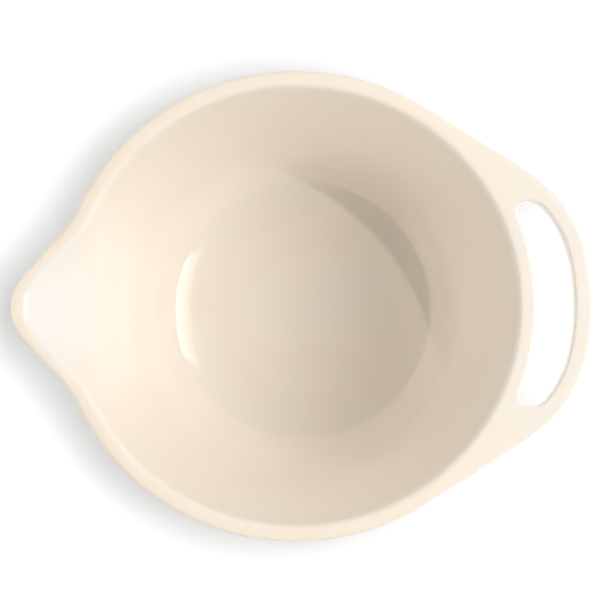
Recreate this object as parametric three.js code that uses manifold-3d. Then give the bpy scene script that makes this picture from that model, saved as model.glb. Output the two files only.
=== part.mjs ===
// A stoneware mixing bowl: a round bowl on a turned foot, with a drawn pouring spout and, opposite it,
// a loop handle level with the rim. The fired bowl is one body of clay. Its nodes are the members that
// a potter makes and lutes together: foot, floor, wall, rim band, spout and handle.
// Millimetres, +Z up, the table at z = 0, the bowl's axis on Z, the handle towards +X.

import * as THREE from "three";
import { mergeVertices } from "three/addons/utils/BufferGeometryUtils.js";
import Module from "manifold-3d";

// Foot ring
const FOOT_HEIGHT = 6;
const FOOT_WIDTH = 9;
const FOOT_INSET = 1; // step in from the edge of the flat underside
const FOOT_EDGE = 1.5; // rounding of the two edges that the bowl stands on

// Floor and wall
const BOWL_HEIGHT = 128;
const FLOOR_THICKNESS = 8;
const FLOOR_RADIUS = 78.5; // where the inside of the wall would meet the floor
const CORNER_REACH = 21; // rounding between floor and wall, inside
const HEEL_REACH = 20; // rounding between underside and wall, outside
const FLOOR_LIP = 6; // wall that is thrown with the floor, above the inside corner
const WALL_THICKNESS = 7;
const WALL_BELLY = 3; // bulge of the wall past a straight cone

// Rim band
const RIM_RADIUS = 118.4;
const RIM_WIDTH = 8;
const RIM_DEPTH = 14; // height of the band, and of the handle
const RIM_STEP = 2.5; // how far the band's lower edge stands out from the wall
const RIM_ROUND = 1.1; // rounding of the rim's outer top edge
const MOUTH_ROUND = 1.8; // rounding of its inner top edge
const RIM_UNDERCUT = 2; // rounding of the band's lower edge

// Pouring spout
const SPOUT_REACH = 24.6; // past the outside of the rim
const SPOUT_WIDTH = 87.4; // across the rim, where the straight flanks leave it
const SPOUT_BLUNTNESS = 11.4; // how much of the flanks' sharp point the rounded tip leaves out
const SPOUT_TIP_SHAPE = 3; // exponent between a pointed and a square tip
const SPOUT_EDGE = 4; // top of the spout, before it turns down into the trough
const SPOUT_LIP_RADIUS = 18; // of that turn
const SPOUT_SLOPE = THREE.MathUtils.degToRad(48); // of the trough below the lip, from level
const SPOUT_WIDENING = 0.58; // how much blunter the spout is for each millimetre below the rim
const SPOUT_BLEND = 3.5; // softness of the flanks' turn out of the rim
const SPOUT_BLEND_GROWTH = 0.1; // added softness for each millimetre below the rim

// Loop handle
const HANDLE_REACH = 27.1; // past the outside of the rim
const HANDLE_BAR = 8; // width of the strap
const HANDLE_END_WIDTH = 50.6; // of the slightly bowed end
const HANDLE_END_RADIUS = 124.5;
const HANDLE_CORNER_RADIUS = 63.5;
const HANDLE_ROUND = 1.2; // rounding of the strap's edges
const HANDLE_ROOT_ANGLE = THREE.MathUtils.degToRad(50); // from the handle's middle to a root's end
const SLOT_END_RADIUS = 7; // of the finger slot

const OVAL = 0.0215; // how much longer than wide the rim is drawn, towards spout and handle
const LUTING_GAP = 0.3; // where a spout or handle is let in beside its neighbour

// Facets
const TURN_STEPS = 64;
const WALL_STEPS = 8;
const SPOUT_STEPS = 28;
const LIP_STEPS = 3;
const CURVE_STEPS = 4;

// Heights and radii that follow
const floorTop = FOOT_HEIGHT + FLOOR_THICKNESS;
const floorSeam = floorTop + CORNER_REACH + FLOOR_LIP;
const rimSeam = BOWL_HEIGHT - RIM_DEPTH;
const mouthRadius = RIM_RADIUS - RIM_WIDTH;

function wallInside(z) {
  const share = (z - floorTop) / (BOWL_HEIGHT - floorTop);
  const cone = THREE.MathUtils.lerp(FLOOR_RADIUS, mouthRadius, share);
  return cone + 4 * WALL_BELLY * share * (1 - share);
}

function wallOutside(z) {
  return wallInside(z) + WALL_THICKNESS;
}

const rimLowerRadius = wallOutside(rimSeam) + RIM_STEP;
const undersideRadius = wallOutside(FOOT_HEIGHT) - HEEL_REACH;
const footRadius = undersideRadius - FOOT_INSET;

// Outside of wall and rim band as one line, for the spout that runs through both
function outsideAt(z) {
  if (z < rimSeam) {
    return wallOutside(z);
  }
  return THREE.MathUtils.lerp(rimLowerRadius, RIM_RADIUS, (z - rimSeam) / RIM_DEPTH);
}

// Solids and booleans

const wasm = await Module();
wasm.setup();

function toManifold(geometry) {
  const bare = geometry.clone();
  bare.deleteAttribute("normal");
  bare.deleteAttribute("uv");
  const joined = mergeVertices(bare, 1e-3);
  return new wasm.Manifold(
    new wasm.Mesh({
      numProp: 3,
      vertProperties: new Float32Array(joined.attributes.position.array),
      triVerts: new Uint32Array(joined.index.array),
    }),
  );
}

function toGeometry(manifold) {
  const mesh = manifold.getMesh();
  const geometry = new THREE.BufferGeometry();
  geometry.setAttribute("position", new THREE.BufferAttribute(mesh.vertProperties, 3));
  geometry.setIndex(new THREE.BufferAttribute(mesh.triVerts, 1));
  geometry.computeVertexNormals();
  return geometry;
}

// A profile of radii and heights turned about the bowl's axis
function turned(profile) {
  return new THREE.LatheGeometry(profile, TURN_STEPS).rotateX(Math.PI / 2);
}

function closed(points) {
  return [...points, points[0].clone()];
}

// A closed outline with each corner cut back by its own rounding
function roundedOutline(corners) {
  const path = new THREE.Path();
  corners.forEach(({ point, round }, i) => {
    const before = corners.at(i - 1).point;
    const after = corners[(i + 1) % corners.length].point;
    const start = point.clone().add(before.clone().sub(point).setLength(round));
    const end = point.clone().add(after.clone().sub(point).setLength(round));
    if (i === 0) {
      path.moveTo(start.x, start.y);
    } else {
      path.lineTo(start.x, start.y);
    }
    if (round > 0) {
      path.quadraticCurveTo(point.x, point.y, end.x, end.y);
    }
  });
  return path.getPoints(CURVE_STEPS);
}

function corner(radius, z, round) {
  return { point: new THREE.Vector2(radius, z), round };
}

// Foot ring, floor, wall and rim band

const footProfile = roundedOutline([
  corner(footRadius - FOOT_WIDTH, 0, FOOT_EDGE),
  corner(footRadius, 0, FOOT_EDGE),
  corner(footRadius, FOOT_HEIGHT, 0),
  corner(footRadius - FOOT_WIDTH, FOOT_HEIGHT, 0),
]);
const footGeometry = turned(closed(footProfile));

const heelTop = FOOT_HEIGHT + HEEL_REACH;
const cornerTop = floorTop + CORNER_REACH;
const floorProfile = new THREE.Path();
floorProfile.moveTo(0, FOOT_HEIGHT);
floorProfile.lineTo(undersideRadius, FOOT_HEIGHT);
floorProfile.quadraticCurveTo(wallOutside(FOOT_HEIGHT), FOOT_HEIGHT, wallOutside(heelTop), heelTop);
floorProfile.lineTo(wallOutside(floorSeam), floorSeam);
floorProfile.lineTo(wallInside(floorSeam), floorSeam);
floorProfile.lineTo(wallInside(cornerTop), cornerTop);
floorProfile.quadraticCurveTo(FLOOR_RADIUS, floorTop, FLOOR_RADIUS - CORNER_REACH, floorTop);
floorProfile.lineTo(0, floorTop);
const floorGeometry = turned(floorProfile.getPoints(CURVE_STEPS));

const wallOutline = [];
for (let i = 0; i <= WALL_STEPS; i += 1) {
  const z = THREE.MathUtils.lerp(floorSeam, rimSeam, i / WALL_STEPS);
  wallOutline.push(new THREE.Vector2(wallOutside(z), z));
}
for (let i = WALL_STEPS; i >= 0; i -= 1) {
  const z = THREE.MathUtils.lerp(floorSeam, rimSeam, i / WALL_STEPS);
  wallOutline.push(new THREE.Vector2(wallInside(z), z));
}
const plainWall = toManifold(turned(closed(wallOutline)));

const rimProfile = roundedOutline([
  corner(wallInside(rimSeam), rimSeam, 0),
  corner(rimLowerRadius, rimSeam, RIM_UNDERCUT),
  corner(RIM_RADIUS, BOWL_HEIGHT, RIM_ROUND),
  corner(mouthRadius, BOWL_HEIGHT, MOUTH_ROUND),
]);
const plainRim = toManifold(turned(closed(rimProfile)));

// Pouring spout, drawn towards +X here and turned to -X where it is placed.
// Seen from above it is a prow with straight flanks and a rounded tip. Lower down the prow sits further
// back and is blunter, which slopes and widens the trough, and it blends softly into the round wall.

const spoutPoint = RIM_RADIUS + SPOUT_REACH + SPOUT_BLUNTNESS;
const flankRoot = Math.sqrt(RIM_RADIUS ** 2 - (SPOUT_WIDTH / 2) ** 2);
const flankAngle = Math.atan2(SPOUT_WIDTH / 2, spoutPoint - flankRoot);

// Distance from the axis to the prow's outline in one direction
function prowRadius(angle, point, bluntness) {
  let inside = 0;
  let outside = 2 * point;
  for (let i = 0; i < 40; i += 1) {
    const radius = (inside + outside) / 2;
    const across = Math.abs(radius * Math.sin(angle)) / Math.tan(flankAngle);
    const setback = (across ** SPOUT_TIP_SHAPE + bluntness ** SPOUT_TIP_SHAPE) ** (1 / SPOUT_TIP_SHAPE);
    if (radius * Math.cos(angle) < point - setback) {
      inside = radius;
    } else {
      outside = radius;
    }
  }
  return inside;
}

function softMax(a, b, softness) {
  const overlap = Math.max(softness - Math.abs(a - b), 0);
  return Math.max(a, b) + overlap ** 2 / (4 * softness);
}

// How far back the trough is at a depth below the rim: round the lip, then straight down the slope
function troughSetback(below) {
  const lipDepth = SPOUT_LIP_RADIUS * (1 - Math.cos(SPOUT_SLOPE));
  const onLip = Math.min(below, lipDepth);
  const roundLip = Math.sqrt(onLip * (2 * SPOUT_LIP_RADIUS - onLip));
  return roundLip + (below - onLip) / Math.tan(SPOUT_SLOPE);
}

// The round bowl's radius, drawn out by the prow
function drawnOut(roundRadius, below, angle, inset, setback) {
  const bluntness = SPOUT_BLUNTNESS + inset - inset / Math.sin(flankAngle) + SPOUT_WIDENING * below;
  const point = RIM_RADIUS + SPOUT_REACH - inset + bluntness - setback;
  const softness = SPOUT_BLEND + SPOUT_BLEND_GROWTH * below;
  return softMax(roundRadius, prowRadius(angle, point, bluntness), softness);
}

function spoutOutside(z, angle) {
  const below = BOWL_HEIGHT - z;
  return drawnOut(outsideAt(z), below, angle, 0, below / Math.tan(SPOUT_SLOPE));
}

function spoutInside(z, angle) {
  const below = BOWL_HEIGHT - z;
  return drawnOut(wallInside(z), below, angle, SPOUT_EDGE, troughSetback(below));
}

function isDrawn(z, angle) {
  return spoutOutside(z, angle) > outsideAt(z) || spoutInside(z, angle) > wallInside(z);
}

// The spout takes in the rim and wall as far round and as far down as it is drawn
const oneDegree = THREE.MathUtils.degToRad(1);
let spoutHalfAngle = 0;
while (isDrawn(BOWL_HEIGHT, spoutHalfAngle)) {
  spoutHalfAngle += oneDegree;
}
let spoutSeam = rimSeam;
while (isDrawn(spoutSeam, 0) && spoutSeam > floorSeam + FLOOR_LIP) {
  spoutSeam -= 1;
}

function spoutSection(angle) {
  const section = [];
  const stepTop = rimSeam - RIM_STEP;
  for (let i = 0; i <= WALL_STEPS; i += 1) {
    const z = THREE.MathUtils.lerp(spoutSeam, stepTop, i / WALL_STEPS);
    section.push(new THREE.Vector2(spoutOutside(z, angle), z));
  }
  const bandLow = rimSeam + RIM_UNDERCUT;
  section.push(new THREE.Vector2(spoutOutside(bandLow, angle), bandLow));
  for (let i = 0; i <= CURVE_STEPS; i += 1) {
    const turn = (i / CURVE_STEPS) * (Math.PI / 2);
    const z = BOWL_HEIGHT - RIM_ROUND * (1 - Math.sin(turn));
    section.push(new THREE.Vector2(spoutOutside(z, angle) - RIM_ROUND * (1 - Math.cos(turn)), z));
  }
  for (let i = CURVE_STEPS; i >= 0; i -= 1) {
    const turn = (i / CURVE_STEPS) * (Math.PI / 2);
    const z = BOWL_HEIGHT - MOUTH_ROUND * (1 - Math.sin(turn));
    section.push(new THREE.Vector2(spoutInside(z, angle) + MOUTH_ROUND * (1 - Math.cos(turn)), z));
  }
  for (let i = 1; i < LIP_STEPS; i += 1) {
    const z = THREE.MathUtils.lerp(BOWL_HEIGHT - MOUTH_ROUND, rimSeam, i / LIP_STEPS);
    section.push(new THREE.Vector2(spoutInside(z, angle), z));
  }
  for (let i = WALL_STEPS; i >= 0; i -= 1) {
    const z = THREE.MathUtils.lerp(spoutSeam, rimSeam, i / WALL_STEPS);
    section.push(new THREE.Vector2(spoutInside(z, angle), z));
  }
  return section;
}

// Skin over sections that stand at successive angles about the axis, with both ends capped
function loftAbout(sections, angles) {
  const count = sections[0].length;
  const positions = [];
  sections.forEach((section, s) => {
    section.forEach((point) => {
      positions.push(point.x * Math.cos(angles[s]), point.x * Math.sin(angles[s]), point.y);
    });
  });
  const index = [];
  for (let s = 0; s + 1 < sections.length; s += 1) {
    for (let i = 0; i < count; i += 1) {
      const a = s * count + i;
      const b = s * count + ((i + 1) % count);
      index.push(a, a + count, b);
      index.push(b, a + count, b + count);
    }
  }
  const last = (sections.length - 1) * count;
  THREE.ShapeUtils.triangulateShape(sections[0], []).forEach(([a, b, c]) => index.push(a, b, c));
  THREE.ShapeUtils.triangulateShape(sections.at(-1), []).forEach(([a, b, c]) => {
    index.push(last + c, last + b, last + a);
  });
  const geometry = new THREE.BufferGeometry();
  geometry.setAttribute("position", new THREE.Float32BufferAttribute(positions, 3));
  geometry.setIndex(index);
  geometry.computeVertexNormals();
  return geometry;
}

const spoutAngles = [];
for (let i = 0; i <= SPOUT_STEPS; i += 1) {
  spoutAngles.push(THREE.MathUtils.lerp(-spoutHalfAngle, spoutHalfAngle, i / SPOUT_STEPS));
}
const spoutGeometry = loftAbout(spoutAngles.map(spoutSection), spoutAngles);

// Window in wall and rim that the spout is let into
const windowHalfAngle = spoutHalfAngle + LUTING_GAP / mouthRadius;
const windowReach = 2 * RIM_RADIUS;
const windowShape = new THREE.Shape([
  new THREE.Vector2(0, 0),
  new THREE.Vector2(-windowReach, windowReach * Math.tan(windowHalfAngle)),
  new THREE.Vector2(-windowReach, -windowReach * Math.tan(windowHalfAngle)),
]);
const windowDepth = BOWL_HEIGHT + RIM_DEPTH - spoutSeam;
const windowGeometry = new THREE.ExtrudeGeometry(windowShape, { depth: windowDepth, bevelEnabled: false });
const spoutWindow = toManifold(windowGeometry.translate(0, 0, spoutSeam));

// Loop handle, drawn with its underside at z = 0.
// The outline runs from the rim along a straight flank, round a corner and along a bowed end. The
// finger slot is the same outline, a strap's width inside, and closes against the rim.

const endCentre = new THREE.Vector2(RIM_RADIUS + HANDLE_REACH - HANDLE_END_RADIUS, 0);
const endHalfAngle = Math.asin(HANDLE_END_WIDTH / 2 / HANDLE_END_RADIUS);
const cornerOffset = HANDLE_END_RADIUS - HANDLE_CORNER_RADIUS;
const cornerCentre = new THREE.Vector2(Math.cos(endHalfAngle), Math.sin(endHalfAngle))
  .multiplyScalar(cornerOffset)
  .add(endCentre);
// The flank touches both the rim's circle and the corner's
const flankNormal =
  cornerCentre.angle() + Math.acos((RIM_RADIUS - HANDLE_CORNER_RADIUS) / cornerCentre.length());

const slotCornerRadius = HANDLE_CORNER_RADIUS - HANDLE_BAR;
const slotEndDistance = RIM_RADIUS + SLOT_END_RADIUS;
const slotEndCosine =
  (slotEndDistance ** 2 + cornerCentre.lengthSq() - (slotCornerRadius - SLOT_END_RADIUS) ** 2) /
  (2 * slotEndDistance * cornerCentre.length());
const slotEndAngle = cornerCentre.angle() + Math.acos(Math.min(slotEndCosine, 1));
const slotEndCentre = new THREE.Vector2(
  slotEndDistance * Math.cos(slotEndAngle),
  slotEndDistance * Math.sin(slotEndAngle),
);
const slotEndTouch = slotEndCentre.clone().sub(cornerCentre).angle();

function polar(radius, angle) {
  return new THREE.Vector2(radius * Math.cos(angle), radius * Math.sin(angle));
}

function mirrored(point) {
  return new THREE.Vector2(point.x, -point.y);
}

// Well inside the rim, where the strap is cut away to fit it
const insideRadius = mouthRadius - RIM_WIDTH;
const rootTip = polar(RIM_RADIUS / Math.cos(flankNormal - HANDLE_ROOT_ANGLE), HANDLE_ROOT_ANGLE);
const rootInside = polar(insideRadius, HANDLE_ROOT_ANGLE);
const slotInside = polar(insideRadius, slotEndAngle + SLOT_END_RADIUS / slotEndDistance);

const strap = new THREE.Shape();
strap.moveTo(mirrored(rootInside).x, mirrored(rootInside).y);
strap.lineTo(mirrored(rootTip).x, mirrored(rootTip).y);
strap.absarc(cornerCentre.x, -cornerCentre.y, HANDLE_CORNER_RADIUS, -flankNormal, -endHalfAngle);
strap.absarc(endCentre.x, 0, HANDLE_END_RADIUS, -endHalfAngle, endHalfAngle);
strap.absarc(cornerCentre.x, cornerCentre.y, HANDLE_CORNER_RADIUS, endHalfAngle, flankNormal);
strap.lineTo(rootTip.x, rootTip.y);
strap.lineTo(rootInside.x, rootInside.y);
strap.lineTo(slotInside.x, slotInside.y);
const slotEndStart = slotEndAngle + Math.PI / 2;
strap.absarc(slotEndCentre.x, slotEndCentre.y, SLOT_END_RADIUS, slotEndStart, slotEndTouch, true);
strap.absarc(cornerCentre.x, cornerCentre.y, slotCornerRadius, slotEndTouch, endHalfAngle, true);
strap.absarc(endCentre.x, 0, HANDLE_END_RADIUS - HANDLE_BAR, endHalfAngle, -endHalfAngle, true);
strap.absarc(cornerCentre.x, -cornerCentre.y, slotCornerRadius, -endHalfAngle, -slotEndTouch, true);
strap.absarc(slotEndCentre.x, -slotEndCentre.y, SLOT_END_RADIUS, -slotEndTouch, -slotEndStart, true);
strap.lineTo(mirrored(slotInside).x, mirrored(slotInside).y);

const strapGeometry = new THREE.ExtrudeGeometry(strap, {
  depth: RIM_DEPTH - 2 * HANDLE_ROUND,
  bevelSize: HANDLE_ROUND,
  bevelThickness: HANDLE_ROUND,
  bevelOffset: -HANDLE_ROUND,
  bevelSegments: CURVE_STEPS,
  curveSegments: 2 * CURVE_STEPS,
}).translate(0, 0, HANDLE_ROUND);

// Seat of the roots: the rim's outer face, let out by the luting gap and run past the strap
const rimDraft = (RIM_RADIUS - rimLowerRadius) / RIM_DEPTH;
const seatTop = RIM_RADIUS + LUTING_GAP + rimDraft * RIM_DEPTH;
const seatBottom = rimLowerRadius + LUTING_GAP - rimDraft * RIM_DEPTH;
const seatGeometry = new THREE.CylinderGeometry(seatTop, seatBottom, 3 * RIM_DEPTH, TURN_STEPS);
seatGeometry.rotateX(Math.PI / 2).translate(0, 0, RIM_DEPTH / 2);
const handleGeometry = toGeometry(toManifold(strapGeometry).subtract(toManifold(seatGeometry)));

// Every member follows the bowl's slight oval: round at the floor, longest at the rim
function ovalled(geometry, base) {
  const position = geometry.attributes.position;
  for (let i = 0; i < position.count; i += 1) {
    const above = Math.max(position.getZ(i) + base - floorTop, 0);
    position.setX(i, position.getX(i) * (1 + (OVAL * above) / (BOWL_HEIGHT - floorTop)));
  }
  geometry.computeVertexNormals();
  return geometry;
}

// Clay and glaze

const GLAZE = { color: 0xf7ecdd, roughness: 0.15, metalness: 0 };
const BARE_CLAY = { color: 0xd9c4a4, roughness: 0.8, metalness: 0 };

function member(name, geometry, finish, base = 0) {
  const mesh = new THREE.Mesh(ovalled(geometry, base), new THREE.MeshStandardMaterial(finish));
  mesh.name = name;
  mesh.position.z = base;
  return mesh;
}

const bowl = new THREE.Group();
bowl.name = "mixing_bowl";

const foot = member("foot_ring", footGeometry, BARE_CLAY);
const floor = member("bowl_floor", floorGeometry, GLAZE);
const wall = member("bowl_wall", toGeometry(plainWall.subtract(spoutWindow)), GLAZE);
const rim = member("rim_band", toGeometry(plainRim.subtract(spoutWindow)), GLAZE);
const spout = member("pouring_spout", spoutGeometry, GLAZE);
spout.rotation.z = Math.PI;
const handle = member("handle_loop", handleGeometry, GLAZE, rimSeam);

bowl.add(foot, floor, wall, rim, spout, handle);

export default bowl;
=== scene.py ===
import math

import bmesh
import bpy
from bpy.props import FloatProperty, FloatVectorProperty, PointerProperty
from mathutils import Matrix, Vector


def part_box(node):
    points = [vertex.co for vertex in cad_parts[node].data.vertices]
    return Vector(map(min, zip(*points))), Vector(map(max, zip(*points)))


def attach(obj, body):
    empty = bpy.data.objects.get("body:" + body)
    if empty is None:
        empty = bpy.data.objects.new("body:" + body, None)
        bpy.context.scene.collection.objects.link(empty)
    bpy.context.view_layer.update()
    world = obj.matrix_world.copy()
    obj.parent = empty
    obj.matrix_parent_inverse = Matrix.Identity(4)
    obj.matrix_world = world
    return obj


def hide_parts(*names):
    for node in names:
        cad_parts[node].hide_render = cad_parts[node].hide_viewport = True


bl_info = {
    "name": "Stoneware mixing bowl",
    "version": (1, 0, 0),
    "blender": (4, 5, 0),
    "location": "View3D > Sidebar > Mixing bowl",
    "description": "Glazed body, bare foot and table for a mixing bowl with spout and handle",
    "category": "Add Mesh",
}

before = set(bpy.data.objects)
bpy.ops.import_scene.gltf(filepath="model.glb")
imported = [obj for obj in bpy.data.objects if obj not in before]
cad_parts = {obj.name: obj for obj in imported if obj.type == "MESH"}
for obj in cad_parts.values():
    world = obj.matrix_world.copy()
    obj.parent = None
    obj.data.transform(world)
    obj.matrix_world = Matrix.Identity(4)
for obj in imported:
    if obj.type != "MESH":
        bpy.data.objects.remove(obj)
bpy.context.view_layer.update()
RIM_LOW, RIM_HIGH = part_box("rim_band")
FLOOR_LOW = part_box("bowl_floor")[0]
FOOT_LOW, FOOT_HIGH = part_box("foot_ring")
GLAZED_NODES = ("bowl_floor", "bowl_wall", "rim_band", "pouring_spout", "handle_loop")

MM = 0.001
TURN = 2 * math.pi

# How far the pieces keep inside the box of the solids, at the rim and at the table
CLEARANCE = 0.01 * MM

# Columns of the mesh about the axis: in all, and from the handle's middle to the slot's end and to
# where the rim is plain again
COLUMNS = 88
SLOT_COLUMNS = 6
FLANK_COLUMNS = 14

# Rings of the mesh, as shares of the stretch that they divide
UNDERSIDE_RINGS = (0.4, 0.75, 0.93)
HEEL_STEPS = 6
OUTER_WALL_RINGS = (0.1, 0.22, 0.34, 0.46, 0.57, 0.68, 0.78, 0.87, 0.93)
RIM_TOP_RINGS = (0.4, 0.4875, 0.55)
INNER_WALL_RINGS = (0.05, 0.12, 0.2, 0.3, 0.4, 0.5, 0.6, 0.7, 0.8, 0.9)
CORNER_RINGS = (0.0, 0.15, 0.3, 0.45, 0.6, 0.75, 0.87, 0.95)
DISH_RINGS = (1.0, 0.95, 0.85, 0.7, 0.5, 0.3, 0.1, 0.0)
FLOOR_RINGS = (0.8, 0.5, 0.25)
FOOT_SIDE_RING = 0.6

# The cove under the rim band: how far out from the wall and how far below the band its rings lie,
# and how far out the two on the band's underside lie
COVE_RINGS = ((0.0, 3 * MM), (0.35 * MM, 1.2 * MM), (0.9 * MM, 0.2 * MM))
BAND_UNDERSIDE_RINGS = (1.2 * MM, 1.5 * MM)

# The band's lower edge: how far in from its face and up from its underside the ring there lies, and
# the share of the face's draft that is left above the strap's rounding
BAND_EDGE_IN = 0.7 * MM
BAND_EDGE_UP = 0.1 * MM
DRAFT_ABOVE_EDGE = 0.85

# How far the mesh stands out from the outline, because smoothing draws its edges in
RIM_SWELL = 0.38 * MM
HANDLE_SWELL = 0.2 * MM

# How far in from either face the middle of a rounded edge lies, for a radius of 1
ROUND_MIDDLE = 1 - math.sqrt(0.5)

# What counts as one point, as level with a height, and as a level face by its normal
MERGE_DISTANCE = 0.01 * MM
LEVEL_DISTANCE = 0.05 * MM
LEVEL_NORMAL = 0.7

# The spout: the power of the curve that rounds its tip and the halvings that find a point on it,
# how much softer its flanks turn for each length below the rim, how far the wall is drawn out where
# the rim band has run out, and half the sector that is drawn
TIP_POWER = 3.0
TIP_HALVINGS = 40
BLEND_GROWTH = 0.1
BAND_RUN_OUT = 10 * MM
SPOUT_SECTOR = math.radians(40)

# Thin glaze: how far below the rim's top it ends, and the degrees from the handle between which it
# sets in
THIN_DEPTH = 1.5 * MM
THIN_FROM_HANDLE = (15, 55)

# Painted reflection in the spout's trough, a whiter tone standing in for the bright handle side
# that the trough mirrors: the distances towards the tip and the degrees from the handle between
# which it sets in, and how far its surface has to face the handle
REFLECTION_REACH = (72 * MM, 132 * MM)
REFLECTION_FROM_HANDLE = (145, 160)
REFLECTION_FACING = 0.4

# Patterns of the materials: size of the glaze's clouds, and size and height of the clay's grains
GLAZE_CLOUD = 45 * MM
CLAY_GRAIN = 1.2 * MM
CLAY_GRAIN_HEIGHT = 0.2 * MM

# The table, and the light that it adds for camera and glaze, so that it looks white
TABLE_SIZE = 6.0
TABLE_LIFT = 0.34

# Lamps: what they are turned to and from how far, the soft lamp's bands by elevation and watts, and
# the lamp over the table
LAMP_AIM = Vector((0, 0, 0.08))
LAMP_DISTANCE = 1.2
SMALL_LAMP_DISTANCE = 4
SOFT_LAMP_BANDS = ((40, 2.1), (48, 1.2), (56, 0.75))
TABLE_LAMP_PLACE = (0.076, -0.009, 0.685)
TABLE_LAMP_SIZE = 0.174

# The room's light at the horizon and at the ceiling, with the ceiling's height in the sky
HORIZON_LIGHT = 0.76
CEILING_LIGHT = 0.17
CEILING_HEIGHT = 0.9

# The room as the glaze mirrors it: bright on the handle's side, up to a height, and dim elsewhere
MIRRORED_BRIGHT = 0.6
MIRRORED_DIM = 0.1
MIRRORED_SIDE = (-0.2, 0.4)
MIRRORED_HEIGHT = (0.3, 0.5)

# The camera: what it looks at, which way it leans, its distance and upward direction, and its lens
CAMERA_AIM = Vector((3.1 * MM, 2.65 * MM, RIM_HIGH.z))
CAMERA_LEAN = Vector((33, -22, 800))
CAMERA_DISTANCE = 0.8
CAMERA_UP = Vector((0.0065, 1, 0))
CAMERA_LENS = 95.9
CAMERA_SENSOR = 36.0


def linear(hex_colour):
    """An sRGB hex colour as linear RGBA."""
    channels = []
    for i in (1, 3, 5):
        value = int(hex_colour[i : i + 2], 16) / 255
        channels.append(value / 12.92 if value <= 0.04045 else ((value + 0.055) / 1.055) ** 2.4)
    return (*channels, 1.0)


def size(name, description, metres):
    return FloatProperty(
        name=name, description=description, default=metres, unit="LENGTH", precision=4
    )


def steepness(name, description, degrees):
    return FloatProperty(
        name=name, description=description, default=math.radians(degrees), subtype="ANGLE"
    )


def tint(name, description, hex_colour):
    return FloatVectorProperty(
        name=name,
        description=description,
        default=linear(hex_colour),
        size=4,
        min=0.0,
        max=1.0,
        subtype="COLOR",
    )


class MixingBowlSizes(bpy.types.PropertyGroup):
    """Sizes of the bowl: those of its solids, but for finer edges, inside corner and trough."""

    height: size("Height", "Table to rim", RIM_HIGH.z - CLEARANCE)
    rim_radius: size("Rim radius", "Outside of the rim", 118.3 * MM)
    rim_width: size("Rim width", "Level top of the rim with its rounded edges", 8 * MM)
    rim_depth: size("Rim depth", "Height of the rim band and of the handle", RIM_HIGH.z - RIM_LOW.z)
    rim_step: size("Rim step", "How far the band stands out from the wall", 2.5 * MM)
    rim_round: size("Rim rounding", "Rounding of the rim's outer edge", 2 * MM)
    handle_round: size("Handle rounding", "Rounding of the handle's outer edge", 1 * MM)
    mouth_round: size("Mouth rounding", "Rounding of the rim's inner edge", 1.8 * MM)
    strap_round: size("Strap rounding", "Rounding of the handle's lower edges", 2.5 * MM)
    wall: size("Wall", "Thickness of the wall", 7 * MM)
    belly: size("Belly", "Bulge of the wall past a straight cone", 3 * MM)
    underside: size("Underside", "Height of the glazed underside over the table", FLOOR_LOW.z)
    floor: size("Floor", "Thickness of the floor", 8 * MM)
    floor_radius: size("Floor radius", "Where wall and floor would meet inside", 78.5 * MM)
    corner: size("Corner", "Height of the rounding between floor and wall", 32 * MM)
    wall_foot: size("Wall foot", "Radius of the line where the corner leaves the floor", 72.6 * MM)
    foot_slope: steepness("Foot slope", "Slope of the corner where it rises from that line", 34)
    dish: size("Dish", "Radius of the floor's upturned edge, seen from the side", 48 * MM)
    dish_slope: steepness("Dish slope", "Slope of the floor's edge at that line", 29)
    heel: size("Heel", "Rounding between wall and underside", 20 * MM)
    foot_width: size("Foot width", "Width of the bare ring", 9 * MM)
    foot_round: size("Foot rounding", "Rounding of the ring's lower edges", 1.5 * MM)
    spout_reach: size("Spout reach", "Past the outside of the rim", 23.4 * MM)
    spout_width: size("Spout width", "Across the rim, where the flanks leave it", 86 * MM)
    spout_bluntness: size("Spout bluntness", "What the rounded tip leaves out", 11.4 * MM)
    spout_blend: size("Spout blend", "Softness of the flanks' turn out of the rim", 3.5 * MM)
    spout_edge: size("Spout edge", "Level top of the spout before the turn to the trough", 4 * MM)
    spout_lip: size("Spout lip", "Radius of that turn", 8 * MM)
    trough_slope: steepness("Trough slope", "Slope of the trough", 42)
    spout_slope: steepness("Spout slope", "Slope of the spout's underside", 48)
    spout_widening: FloatProperty(
        name="Spout widening",
        description="How much blunter the spout is for each length below the rim",
        default=0.58,
    )
    handle_reach: size("Handle reach", "From the axis to the handle's end", 145.5 * MM)
    handle_bar: size("Handle bar", "Width of the strap", 8 * MM)
    handle_end: size("Handle end", "Width of the bowed end", 50.6 * MM)
    handle_end_radius: size("Handle end radius", "Bow of the handle's end", 124.5 * MM)
    handle_corner: size("Handle corner", "Radius of the handle's corners", 63.5 * MM)
    slot_flare: size("Slot flare", "How far the slot's walls lean away underneath", 0.5 * MM)
    slot_round: size("Slot rounding", "Rounding of the slot's upper edge", 1.1 * MM)
    slot_low_round: size("Slot low rounding", "Rounding of the slot's lower edge", 1.2 * MM)
    oval: FloatProperty(
        name="Oval", description="How much longer than wide the rim is", default=0.0215
    )


class MixingBowlColours(bpy.types.PropertyGroup):
    """Colours of glaze, clay and table."""

    glaze: tint("Glaze", "Cream glaze", "#F8F0E4")
    glaze_cloud: tint("Glaze clouds", "Cream glaze in its faint clouds", "#F6EBDB")
    glaze_thin: tint("Thin glaze", "Cream glaze where it has run thin over an edge", "#FDEFDD")
    # Painted reflection: the whiter tone of the spout's trough, standing in for the bright handle
    # side that it mirrors
    trough_reflection_tint: tint("Pooled glaze", "Cream glaze where it has run together", "#F8F2EB")
    clay: tint("Clay", "Bare fired stoneware", "#D9C4A4")
    grog: tint("Grog", "Darker grains in the clay", "#A98B66")
    table: tint("Table", "Plain pale table top", "#F3F4F5")


def sizes():
    return bpy.context.scene.mixing_bowl_sizes


def colours():
    return bpy.context.scene.mixing_bowl_colours


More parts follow.
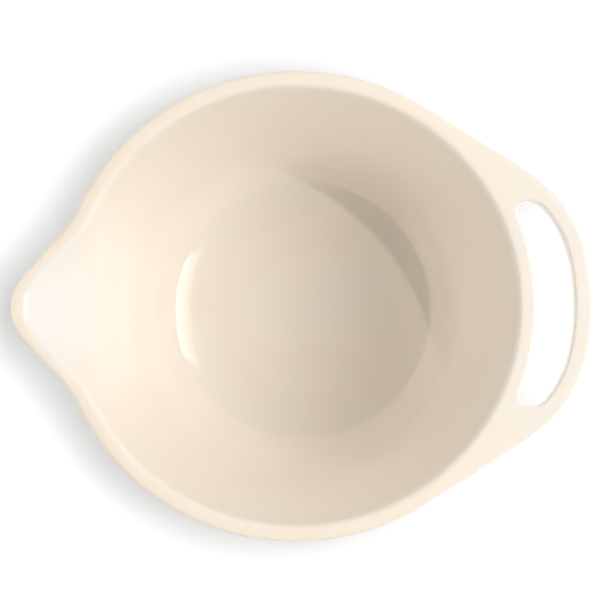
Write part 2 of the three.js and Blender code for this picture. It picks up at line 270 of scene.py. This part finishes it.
# The bowl's form: wall, spout and handle as radii about the axis


def mix(a, b, share):
    return a + (b - a) * share


def ease(share):
    share = min(max(share, 0.0), 1.0)
    return share * share * (3 - 2 * share)


def ease_between(value, start, end):
    """From 0 at the start to 1 at the end."""
    return ease((value - start) / (end - start))


def soft_max(a, b, softness):
    overlap = max(softness - abs(a - b), 0.0)
    return max(a, b) + overlap**2 / (4 * softness)


def bezier(start, control, end, share):
    """A point on a rounded corner."""
    near = [mix(a, b, share) for a, b in zip(start, control)]
    far = [mix(a, b, share) for a, b in zip(control, end)]
    return tuple(mix(a, b, share) for a, b in zip(near, far))


def wall_inside(z):
    s = sizes()
    floor_top = s.underside + s.floor
    share = (z - floor_top) / (s.height - floor_top)
    cone = mix(s.floor_radius, s.rim_radius - s.rim_width, share)
    return cone + 4 * s.belly * share * (1 - share)


def wall_outside(z):
    return wall_inside(z) + sizes().wall


def ray_to_circle(centre, radius, angle):
    """How far out a ray from the axis leaves a circle that it starts inside or crosses."""
    along = centre.x * math.cos(angle) + centre.y * math.sin(angle)
    return along + math.sqrt(max(along**2 - centre.length_squared + radius**2, 0.0))


def handle_outline(angle, inset):
    """Radius of the handle's outline, or of the slot's far edge with the strap's width as inset."""
    s = sizes()
    angle = abs(angle)
    end_centre = Vector((s.handle_reach - s.handle_end_radius, 0.0))
    end_angle = math.asin(s.handle_end / 2 / s.handle_end_radius)
    towards_corner = Vector((math.cos(end_angle), math.sin(end_angle)))
    corner_centre = end_centre + towards_corner * (s.handle_end_radius - s.handle_corner)
    lean = math.acos((s.rim_radius - s.handle_corner) / corner_centre.length)
    flank_normal = math.atan2(corner_centre.y, corner_centre.x) + lean

    end_from = end_centre + towards_corner * (s.handle_end_radius - inset)
    flank_towards = Vector((math.cos(flank_normal), math.sin(flank_normal)))
    flank_from = corner_centre + flank_towards * (s.handle_corner - inset)
    if angle <= math.atan2(end_from.y, end_from.x):
        return ray_to_circle(end_centre, s.handle_end_radius - inset, angle)
    if angle <= math.atan2(flank_from.y, flank_from.x):
        return ray_to_circle(corner_centre, s.handle_corner - inset, angle)
    if angle <= flank_normal:
        return (s.rim_radius - inset) / math.cos(flank_normal - angle)
    return s.rim_radius - inset


def rim_section(angle):
    """Rings over the rim at one column, from under the band to the inside of the mouth. Beside the
    handle the band runs out into the strap, with a pair of rings at each edge of the slot."""
    s = sizes()
    top = s.height
    low = s.height - s.rim_depth
    column = TURN / COLUMNS
    into_handle = ease((FLANK_COLUMNS - abs(angle) / column) / (FLANK_COLUMNS - SLOT_COLUMNS))
    outline = handle_outline(angle, 0.0)
    slot_far = handle_outline(angle, s.handle_bar)
    under = wall_outside(low)
    band = under + s.rim_step
    draft = s.rim_radius - band
    mouth = s.rim_radius - s.rim_width
    widest = outline + mix(RIM_SWELL, HANDLE_SWELL, into_handle)
    edge_round = mix(s.rim_round, s.handle_round, into_handle)
    edge_middle = ROUND_MIDDLE * edge_round
    strap_middle = ROUND_MIDDLE * s.strap_round
    mouth_middle = ROUND_MIDDLE * s.mouth_round
    cove_out, cove_down = COVE_RINGS[-1]
    under_rim_out, under_bar_out = BAND_UNDERSIDE_RINGS
    bar_in, rim_in, middle_in = (share * s.rim_width for share in RIM_TOP_RINGS)

    def ring(plain, drawn, z):
        return (mix(plain, drawn, into_handle), z)

    return [
        (under + cove_out, low - cove_down),
        ring(under + under_rim_out, s.rim_radius - s.slot_flare, low),
        ring(under + under_bar_out, slot_far + s.slot_flare, low),
        ring(outline - draft - BAND_EDGE_IN, outline - s.strap_round, low + BAND_EDGE_UP),
        ring(outline - draft, outline - strap_middle, low + strap_middle),
        ring(outline - DRAFT_ABOVE_EDGE * draft, widest, low + s.strap_round),
        ring(outline - draft / 2, widest, (low + top) / 2),
        (widest, top - edge_round),
        (widest - edge_middle, top - edge_middle),
        (outline - edge_round, top),
        ring(outline - bar_in, slot_far, top),
        ring(outline - rim_in, s.rim_radius, top),
        (s.rim_radius - middle_in, top),
        (mouth + s.mouth_round, top),
        (mouth + mouth_middle, top - mouth_middle),
        (wall_inside(top - s.mouth_round), top - s.mouth_round),
    ]


# Places in rim_section of the rings at the slot's edges
UNDER_RIM, UNDER_BAR, TOP_BAR, TOP_RIM = 1, 2, 10, 11


def profile_below_rim():
    """Rings from the middle of the underside, round the heel and up the outside of the wall."""
    s = sizes()
    flat = wall_outside(s.underside) - s.heel
    heel_top = s.underside + s.heel
    low = s.height - s.rim_depth
    rings = [(share * flat, s.underside) for share in UNDERSIDE_RINGS]

    start = (flat, s.underside)
    turn = (wall_outside(s.underside), s.underside)
    end = (wall_outside(heel_top), heel_top)
    rings += [bezier(start, turn, end, i / HEEL_STEPS) for i in range(HEEL_STEPS + 1)]

    for share in OUTER_WALL_RINGS:
        z = mix(heel_top, low, share)
        rings.append((wall_outside(z), z))
    rings += [(wall_outside(low - down) + out, low - down) for out, down in COVE_RINGS[:-1]]
    return rings


def profile_inside():
    """Rings down the inside of the wall, round the corner to its foot, and in over the floor, which
    is dished at its edge."""
    s = sizes()
    floor_top = s.underside + s.floor
    corner_top = floor_top + s.corner
    rings = []
    for share in INNER_WALL_RINGS:
        z = mix(s.height - s.mouth_round, corner_top, share)
        rings.append((wall_inside(z), z))

    foot = (s.wall_foot, floor_top + s.dish * (1 - math.cos(s.dish_slope)))
    start = (wall_inside(corner_top), corner_top)
    lean = (wall_inside(corner_top + MM) - start[0]) / MM
    rise = math.tan(s.foot_slope)
    drop = (corner_top - foot[1] - rise * (start[0] - foot[0])) / (1 - rise * lean)
    turn = (start[0] - lean * drop, corner_top - drop)
    rings += [bezier(start, turn, foot, share) for share in CORNER_RINGS]

    flat = s.wall_foot - s.dish * math.sin(s.dish_slope)
    for share in DISH_RINGS:
        slope = share * s.dish_slope
        up = s.dish * (1 - math.cos(slope))
        rings.append((flat + s.dish * math.sin(slope), floor_top + up))
    rings += [(share * flat, floor_top) for share in FLOOR_RINGS]
    return rings


def trough_setback(below):
    """How far the trough has come back at a depth: round the lip, then straight down the slope."""
    s = sizes()
    lip_depth = s.spout_lip * (1 - math.cos(s.trough_slope))
    on_lip = min(max(below, 0.0), lip_depth)
    round_lip = math.sqrt(on_lip * (2 * s.spout_lip - on_lip))
    return round_lip + max(below - lip_depth, 0.0) / math.tan(s.trough_slope)


def prow_radius(angle, inset, setback, below):
    """Radius of the spout's prow: straight flanks and a rounded tip, blunter lower down."""
    s = sizes()
    sharp = s.rim_radius + s.spout_reach + s.spout_bluntness
    root = math.sqrt(s.rim_radius**2 - (s.spout_width / 2) ** 2)
    flank = math.atan2(s.spout_width / 2, sharp - root)
    blunt = s.spout_bluntness + inset - inset / math.sin(flank) + s.spout_widening * below
    point = s.rim_radius + s.spout_reach - inset + blunt - setback
    inside, outside = 0.0, 2 * point
    for _ in range(TIP_HALVINGS):
        radius = (inside + outside) / 2
        across = abs(radius * math.sin(angle)) / math.tan(flank)
        rounding = (across**TIP_POWER + blunt**TIP_POWER) ** (1 / TIP_POWER)
        if radius * math.cos(angle) < point - rounding:
            inside = radius
        else:
            outside = radius
    return inside


def drawn_out(radius, z, angle):
    """Where a point of the round bowl goes when the spout is drawn out of it."""
    s = sizes()
    inside, outside = wall_inside(z), wall_outside(z)
    below = s.height - z
    softness = s.spout_blend + BLEND_GROWTH * below
    trough = prow_radius(angle, s.spout_edge, trough_setback(below), below)
    prow = prow_radius(angle, s.rim_width - s.wall, below / math.tan(s.spout_slope), below)
    new_inside = soft_max(inside, trough, softness)
    new_outside = soft_max(outside, prow, softness)
    if radius <= outside:
        return mix(new_inside, new_outside, (radius - inside) / (outside - inside))
    band = radius - outside
    drawn = ease((new_outside - outside) / BAND_RUN_OUT)
    return new_outside + mix(band, min(band, s.rim_width - s.wall), drawn)


# Modelling


def deselect_all():
    if bpy.context.mode != "OBJECT":
        bpy.ops.object.mode_set(mode="OBJECT")
    bpy.ops.object.select_all(action="DESELECT")


def start_ring(name, radius, z):
    """A filled circle about the axis, in edit mode with its rim selected."""
    deselect_all()
    bpy.ops.mesh.primitive_circle_add(vertices=COLUMNS, radius=radius, fill_type="NGON")
    piece = bpy.context.object
    piece.name = name
    piece.data.name = name
    bpy.ops.object.mode_set(mode="EDIT")
    bpy.ops.mesh.select_mode(type="EDGE")
    bpy.ops.transform.translate(value=(0, 0, z))
    return piece


def raise_rings(rings, last):
    """Extrudes the selected ring through the given radii and heights, from the last one."""
    for radius, z in rings:
        bpy.ops.mesh.extrude_edges_move(TRANSFORM_OT_translate={"value": (0, 0, z - last[1])})
        grow = radius / last[0]
        bpy.ops.transform.resize(value=(grow, grow, 1), center_override=(0, 0, z))
        last = (radius, z)


def subdivide_smoothly(piece):
    """One applied step of subdivision."""
    smooth = piece.modifiers.new("Smooth", "SUBSURF")
    smooth.levels = smooth.render_levels = 1
    smooth.boundary_smooth = "ALL"
    bpy.ops.object.modifier_apply(modifier=smooth.name)


def throw_body():
    """The round bowl, ring by ring from the underside over the rim to the middle of the floor."""
    rings = profile_below_rim() + rim_section(math.pi) + profile_inside()
    body = start_ring("glazed_bowl", *rings[0])
    raise_rings(rings[1:], rings[0])
    bpy.ops.mesh.edge_face_add()
    bpy.ops.mesh.select_all(action="SELECT")
    bpy.ops.mesh.normals_make_consistent(inside=False)
    return body


def rim_ring(mesh, place):
    """The points of one ring of the rim, by its place in rim_section."""
    first = (len(profile_below_rim()) + place) * COLUMNS
    return mesh.verts[first : first + COLUMNS]


def draw_handle_web(body):
    """Runs the rim band out into the strap, column by column."""
    mesh = bmesh.from_edit_mesh(body.data)
    mesh.verts.ensure_lookup_table()
    for place in range(len(rim_section(0.0))):
        for vert in rim_ring(mesh, place):
            angle = math.atan2(vert.co.y, vert.co.x)
            radius, z = rim_section(angle)[place]
            vert.co = (radius * math.cos(angle), radius * math.sin(angle), z)
    bmesh.update_edit_mesh(body.data)


def open_finger_slot(body):
    """Takes the slot's faces out of the top and the underside and joins the two holes by walls."""
    mesh = bmesh.from_edit_mesh(body.data)
    mesh.verts.ensure_lookup_table()
    slot_half = (SLOT_COLUMNS + 0.5) * TURN / COLUMNS

    def slot_edge(place):
        ring = rim_ring(mesh, place)
        return {vert for vert in ring if abs(math.atan2(vert.co.y, vert.co.x)) < slot_half}

    bpy.ops.mesh.select_mode(type="FACE")
    bpy.ops.mesh.select_all(action="DESELECT")
    for near, far in ((UNDER_RIM, UNDER_BAR), (TOP_RIM, TOP_BAR)):
        edge_verts = slot_edge(near) | slot_edge(far)
        for face in mesh.faces:
            if all(vert in edge_verts for vert in face.verts):
                face.select_set(True)
    bmesh.update_edit_mesh(body.data)
    bpy.ops.mesh.delete(type="FACE")

    bpy.ops.mesh.select_mode(type="EDGE")
    bpy.ops.mesh.select_all(action="DESELECT")
    mesh = bmesh.from_edit_mesh(body.data)
    for edge in mesh.edges:
        edge.select_set(edge.is_boundary)
    bmesh.update_edit_mesh(body.data)
    bpy.ops.mesh.bridge_edge_loops(number_cuts=2)


def soften_slot_edges(body):
    """Rounds the slot's two edges."""
    s = sizes()
    for z, width in ((s.height, s.slot_round), (s.height - s.rim_depth, s.slot_low_round)):
        bpy.ops.mesh.select_mode(type="EDGE")
        bpy.ops.mesh.select_all(action="DESELECT")
        mesh = bmesh.from_edit_mesh(body.data)
        for edge in mesh.edges:
            level = all(abs(vert.co.z - z) < LEVEL_DISTANCE for vert in edge.verts)
            if level and len(edge.link_faces) == 2:
                flat = [abs(face.normal.z) > LEVEL_NORMAL for face in edge.link_faces]
                edge.select_set(flat[0] != flat[1])
        bmesh.update_edit_mesh(body.data)
        bpy.ops.mesh.bevel(offset=width, segments=2, profile=0.5, affect="EDGES")


def draw_spout(body):
    """Draws the spout out of the rim and wall."""
    middle = sizes().height / 2
    for vert in body.data.vertices:
        angle = math.atan2(vert.co.y, -vert.co.x)
        radius = math.hypot(vert.co.x, vert.co.y)
        if abs(angle) < SPOUT_SECTOR and vert.co.z > middle:
            grow = drawn_out(radius, vert.co.z, angle) / radius
            vert.co.x *= grow
            vert.co.y *= grow
    body.data.update()


def draw_oval(body):
    """Lengthens the round bowl a little towards spout and handle, most at the rim."""
    s = sizes()
    floor_top = s.underside + s.floor
    for vert in body.data.vertices:
        share = max((vert.co.z - floor_top) / (s.height - floor_top), 0.0)
        vert.co.x *= 1 + s.oval * share
    body.data.update()


def mark_glaze(body):
    """Keeps at each point how thin the glaze has run, on the rim but not on the handle, and how
    much whiter the spout's trough is painted where it faces the bright handle side, as a painted
    reflection."""
    height = sizes().height
    for name in ("thin_glaze", "trough_reflection"):
        body.data.attributes.new(name, "FLOAT", "POINT")
    thin = body.data.attributes["thin_glaze"].data
    reflected = body.data.attributes["trough_reflection"].data
    for vert, thin_here, reflected_here in zip(body.data.vertices, thin, reflected):
        from_handle = math.degrees(abs(math.atan2(vert.co.y, vert.co.x)))
        on_top = 1 - ease((height - vert.co.z) / THIN_DEPTH)
        thin_here.value = on_top * ease_between(from_handle, *THIN_FROM_HANDLE)
        # Painted reflection in the spout's trough: whiter towards the tip, where the surface faces
        # the bright handle side
        towards_tip = ease_between(-vert.co.x, *REFLECTION_REACH)
        facing_bright_side = ease(vert.normal.x / REFLECTION_FACING)
        at_spout = ease_between(from_handle, *REFLECTION_FROM_HANDLE)
        reflected_here.value = towards_tip * facing_bright_side * at_spout


def turn_foot():
    """The foot ring, turned from its inner face round the bottom and back over its top."""
    s = sizes()
    outer = FOOT_HIGH.x
    inner = outer - s.foot_width
    low, top = FOOT_LOW.z + CLEARANCE, FOOT_HIGH.z
    edge = s.foot_round
    edge_middle = ROUND_MIDDLE * edge
    side = mix(edge, top, FOOT_SIDE_RING)
    rings = [
        (inner, edge),
        (inner + edge_middle, edge_middle),
        (inner + edge, low),
        ((inner + outer) / 2, low),
        (outer - edge, low),
        (outer - edge_middle, edge_middle),
        (outer, edge),
        (outer, side),
        (outer, top),
        (inner, top),
        (inner, side),
    ]
    foot = start_ring("foot_ring_bare", *rings[0])
    bpy.ops.mesh.delete(type="ONLY_FACE")
    bpy.ops.mesh.select_all(action="SELECT")
    raise_rings(rings[1:] + rings[:1], rings[0])
    bpy.ops.mesh.select_all(action="SELECT")
    bpy.ops.mesh.remove_doubles(threshold=MERGE_DISTANCE)
    bpy.ops.mesh.normals_make_consistent(inside=False)
    return foot


def finish_piece(piece, material, slot, *nodes):
    """Smooth shading, its material, and its place on the frame."""
    deselect_all()
    piece.select_set(True)
    bpy.context.view_layer.objects.active = piece
    bpy.ops.object.shade_smooth()
    piece.data.materials.clear()
    piece.data.materials.append(material)
    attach(piece, "root")
    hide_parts(*nodes)


# Materials


def add_node(tree, kind, inputs=None, **settings):
    """Adds a node with its settings, and links or sets its inputs."""
    node = tree.nodes.new(kind)
    for name, value in settings.items():
        setattr(node, name, value)
    for key, value in (inputs or {}).items():
        if isinstance(value, bpy.types.NodeSocket):
            tree.links.new(value, node.inputs[key])
        else:
            node.inputs[key].default_value = value
    return node


def new_material(name):
    material = bpy.data.materials.new(name)
    material.use_nodes = True
    material.node_tree.nodes.clear()
    return material, material.node_tree


def cream_glaze():
    """Fired cream glaze: a clear hard gloss over a warm white. It is faintly cloudy and warmer
    where it has run thin over the rim. The spout's trough is painted whiter, a painted reflection
    of the bright handle side that it faces."""
    material, tree = new_material("cream_stoneware_glaze")
    place = add_node(tree, "ShaderNodeTexCoord")
    cloud = add_node(
        tree,
        "ShaderNodeTexNoise",
        {"Vector": place.outputs["Object"], "Scale": 1 / GLAZE_CLOUD, "Detail": 3.0},
    )
    reflected = add_node(tree, "ShaderNodeAttribute", attribute_name="trough_reflection")
    thin = add_node(tree, "ShaderNodeAttribute", attribute_name="thin_glaze")
    c = colours()
    colour = c.glaze
    # The whiter tone in the spout's trough is a painted reflection
    for share, other in ((cloud, c.glaze_cloud), (reflected, c.trough_reflection_tint), (thin, c.glaze_thin)):
        mixed = add_node(
            tree,
            "ShaderNodeMix",
            {"Factor": share.outputs["Fac"], "A": colour, "B": other},
            data_type="RGBA",
        )
        colour = mixed.outputs["Result"]
    shader = add_node(
        tree,
        "ShaderNodeBsdfPrincipled",
        {"Base Color": colour, "Roughness": 0.08, "IOR": 1.7},
    )
    add_node(tree, "ShaderNodeOutputMaterial", {"Surface": shader.outputs["BSDF"]})
    return material


def bare_clay():
    """Unglazed fired stoneware: a sandy buff with darker grains, dry and rough."""
    material, tree = new_material("bare_fired_stoneware")
    place = add_node(tree, "ShaderNodeTexCoord")
    grain = add_node(
        tree,
        "ShaderNodeTexNoise",
        {"Vector": place.outputs["Object"], "Scale": 1 / CLAY_GRAIN, "Detail": 4.0},
    )
    specks = add_node(
        tree,
        "ShaderNodeMapRange",
        {"Value": grain.outputs["Fac"], "From Min": 0.55, "From Max": 0.75},
    )
    colour = add_node(
        tree,
        "ShaderNodeMix",
        {"Factor": specks.outputs["Result"], "A": colours().clay, "B": colours().grog},
        data_type="RGBA",
    )
    bump = add_node(
        tree,
        "ShaderNodeBump",
        {"Height": grain.outputs["Fac"], "Strength": 0.5, "Distance": CLAY_GRAIN_HEIGHT},
    )
    shader = add_node(
        tree,
        "ShaderNodeBsdfPrincipled",
        {
            "Base Color": colour.outputs["Result"],
            "Roughness": 0.85,
            "Normal": bump.outputs["Normal"],
        },
    )
    add_node(tree, "ShaderNodeOutputMaterial", {"Surface": shader.outputs["BSDF"]})
    return material


def white_table_top():
    """Plain matte table top. It gives off a little light to the camera and the glaze, so that it
    looks white and still shows the bowl's shadow."""
    material, tree = new_material("white_table_top")
    matte = add_node(tree, "ShaderNodeBsdfDiffuse", {"Color": colours().table, "Roughness": 0.5})
    lift = add_node(
        tree, "ShaderNodeEmission", {"Color": colours().table, "Strength": TABLE_LIFT}
    )
    lifted = add_node(tree, "ShaderNodeAddShader", {0: matte.outputs["BSDF"], 1: lift.outputs[0]})
    seen = add_node(tree, "ShaderNodeLightPath")
    shown = add_node(
        tree,
        "ShaderNodeMath",
        {0: seen.outputs["Is Camera Ray"], 1: seen.outputs["Is Glossy Ray"]},
        operation="MAXIMUM",
    )
    surface = add_node(
        tree,
        "ShaderNodeMixShader",
        {0: shown.outputs["Value"], 1: matte.outputs["BSDF"], 2: lifted.outputs[0]},
    )
    add_node(tree, "ShaderNodeOutputMaterial", {"Surface": surface.outputs[0]})
    return material


# Table, light and camera


def set_table():
    """A wide table under the bowl."""
    deselect_all()
    bpy.ops.mesh.primitive_plane_add(size=TABLE_SIZE)
    table = bpy.context.object
    table.name = "table"
    table.data.materials.append(white_table_top())
    return table


def lit_group(name, pieces):
    """The pieces that a lamp lights."""
    group = bpy.data.collections.new(name)
    for piece in pieces:
        group.objects.link(piece)
    return group


def hang_lamp(name, group, place, width, height, watts, mirrored=False):
    """A lamp for one group of pieces, turned straight down. A mirrored lamp only shows in the
    glaze, and any other only lights."""
    deselect_all()
    bpy.ops.object.light_add(type="AREA", location=place)
    lamp = bpy.context.object
    lamp.name = name
    lamp.data.shape = "RECTANGLE"
    lamp.data.size = width
    lamp.data.size_y = height
    lamp.data.energy = watts
    lamp.light_linking.receiver_collection = group
    lamp.visible_camera = False
    lamp.visible_glossy = mirrored
    lamp.visible_diffuse = not mirrored
    return lamp


def aim_lamp(name, group, towards, spread, watts, mirrored=False, distance=LAMP_DISTANCE):
    """A lamp turned to the bowl. Its direction is given by azimuth and elevation, and its spread by
    the angles of its width and height."""
    azimuth, elevation = (math.radians(angle) for angle in towards)
    level = math.cos(elevation)
    away = Vector((level * math.cos(azimuth), level * math.sin(azimuth), math.sin(elevation)))
    width, height = (2 * distance * math.tan(math.radians(angle / 2)) for angle in spread)
    lamp = hang_lamp(name, group, LAMP_AIM + away * distance, width, height, watts, mirrored)
    lamp.rotation_euler = (-away).to_track_quat("-Z", "Y").to_euler()


def set_lights(bowl, table):
    """A soft lamp on the handle's side, which fades upwards, shows in the glaze. The bowl is lit by
    a wide fill from there, a weak one from the near side, a card opposite, and a small lamp that
    draws the rim's shadow inside. A lamp of its own draws the shadow on the table."""
    on_bowl = lit_group("lit_bowl", bowl)
    for elevation, watts in SOFT_LAMP_BANDS:
        name = f"soft_lamp_{elevation}"
        aim_lamp(name, on_bowl, (0, elevation), spread=(38, 8), watts=watts, mirrored=True)
    aim_lamp("wide_fill", on_bowl, towards=(0, 46), spread=(94, 20), watts=13.5)
    aim_lamp("near_fill", on_bowl, towards=(-55, 52), spread=(40, 24), watts=0.7)
    aim_lamp(
        "small_lamp",
        on_bowl,
        towards=(38, 63.6),
        spread=(1.2, 1.2),
        watts=24,
        distance=SMALL_LAMP_DISTANCE,
    )
    aim_lamp("white_card", on_bowl, towards=(180, 32), spread=(60, 14), watts=3.8)

    hang_lamp(
        "table_lamp",
        lit_group("lit_table", [table]),
        TABLE_LAMP_PLACE,
        width=TABLE_LAMP_SIZE,
        height=TABLE_LAMP_SIZE,
        watts=3.6,
    )


def set_room():
    """A white room with a dim ceiling. The glaze mirrors it darker, but for the handle's side, and
    the camera sees it plain white."""
    room = bpy.data.worlds.new("white_room")
    room.use_nodes = True
    tree = room.node_tree
    tree.nodes.clear()
    seen = add_node(tree, "ShaderNodeLightPath")
    place = add_node(tree, "ShaderNodeTexCoord")
    way = add_node(tree, "ShaderNodeSeparateXYZ", {"Vector": place.outputs["Generated"]})
    lighting = add_node(
        tree,
        "ShaderNodeMapRange",
        {
            "Value": way.outputs["Z"],
            "From Max": CEILING_HEIGHT,
            "To Min": HORIZON_LIGHT,
            "To Max": CEILING_LIGHT,
        },
    )
    side = add_node(
        tree,
        "ShaderNodeMapRange",
        {
            "Value": way.outputs["X"],
            "From Min": MIRRORED_SIDE[0],
            "From Max": MIRRORED_SIDE[1],
            "To Min": MIRRORED_DIM,
            "To Max": MIRRORED_BRIGHT,
        },
    )
    mirrored = add_node(
        tree,
        "ShaderNodeMapRange",
        {
            "Value": way.outputs["Z"],
            "From Min": MIRRORED_HEIGHT[0],
            "From Max": MIRRORED_HEIGHT[1],
            "To Min": side.outputs["Result"],
            "To Max": MIRRORED_DIM,
        },
    )
    on_bowl = add_node(
        tree,
        "ShaderNodeMix",
        {
            "Factor": seen.outputs["Is Glossy Ray"],
            "A": lighting.outputs["Result"],
            "B": mirrored.outputs["Result"],
        },
    )
    strength = add_node(
        tree,
        "ShaderNodeMix",
        {"Factor": seen.outputs["Is Camera Ray"], "A": on_bowl.outputs["Result"], "B": 1.0},
    )
    light = add_node(
        tree,
        "ShaderNodeBackground",
        {"Color": (1, 1, 1, 1), "Strength": strength.outputs["Result"]},
    )
    add_node(tree, "ShaderNodeOutputWorld", {"Surface": light.outputs["Background"]})
    bpy.context.scene.world = room


def set_camera():
    """Almost straight above, leaning a little to the handle and to the near side."""
    lean = CAMERA_LEAN.normalized()
    deselect_all()
    bpy.ops.object.camera_add(location=CAMERA_AIM + lean * CAMERA_DISTANCE)
    camera = bpy.context.object
    camera.data.lens = CAMERA_LENS
    camera.data.sensor_width = CAMERA_SENSOR
    across = CAMERA_UP.cross(lean).normalized()
    axes = Matrix((across, lean.cross(across), lean)).transposed()
    camera.rotation_euler = axes.to_euler()
    bpy.context.scene.camera = camera


# Operators


class MIXINGBOWL_OT_body(bpy.types.Operator):
    """Throw the bowl, draw out its spout and handle, and glaze it"""

    bl_idname = "mixing_bowl.body"
    bl_label = "Glazed body"

    def execute(self, context):
        body = throw_body()
        draw_handle_web(body)
        open_finger_slot(body)
        soften_slot_edges(body)
        bpy.ops.object.mode_set(mode="OBJECT")
        subdivide_smoothly(body)
        draw_spout(body)
        subdivide_smoothly(body)
        draw_oval(body)
        mark_glaze(body)
        finish_piece(body, cream_glaze(), "cream_glaze", *GLAZED_NODES)
        return {"FINISHED"}


class MIXINGBOWL_OT_foot(bpy.types.Operator):
    """Turn the bare foot ring"""

    bl_idname = "mixing_bowl.foot"
    bl_label = "Foot ring"

    def execute(self, context):
        foot = turn_foot()
        bpy.ops.object.mode_set(mode="OBJECT")
        subdivide_smoothly(foot)
        finish_piece(foot, bare_clay(), "bare_clay", "foot_ring")
        return {"FINISHED"}


class MIXINGBOWL_OT_stage(bpy.types.Operator):
    """Set the table, the lights and the camera"""

    bl_idname = "mixing_bowl.stage"
    bl_label = "Table, light and camera"

    def execute(self, context):
        table = set_table()
        bowl = [bpy.data.objects[name] for name in ("glazed_bowl", "foot_ring_bare")]
        set_lights(bowl, table)
        set_room()
        set_camera()
        context.scene.view_settings.view_transform = "Standard"
        return {"FINISHED"}


class MIXINGBOWL_PT_panel(bpy.types.Panel):
    """The bowl's steps in the sidebar"""

    bl_idname = "MIXINGBOWL_PT_panel"
    bl_label = "Mixing bowl"
    bl_space_type = "VIEW_3D"
    bl_region_type = "UI"
    bl_category = "Mixing bowl"

    def draw(self, context):
        for step in STEPS:
            self.layout.operator(step.bl_idname)


STEPS = (MIXINGBOWL_OT_body, MIXINGBOWL_OT_foot, MIXINGBOWL_OT_stage)
CLASSES = (MixingBowlSizes, MixingBowlColours, *STEPS, MIXINGBOWL_PT_panel)


def register():
    for cls in CLASSES:
        bpy.utils.register_class(cls)
    bpy.types.Scene.mixing_bowl_sizes = PointerProperty(type=MixingBowlSizes)
    bpy.types.Scene.mixing_bowl_colours = PointerProperty(type=MixingBowlColours)


def unregister():
    del bpy.types.Scene.mixing_bowl_colours
    del bpy.types.Scene.mixing_bowl_sizes
    for cls in reversed(CLASSES):
        bpy.utils.unregister_class(cls)


def main():
    register()
    bpy.ops.mixing_bowl.body()
    bpy.ops.mixing_bowl.foot()
    bpy.ops.mixing_bowl.stage()


if __name__ == "__main__":
    main()
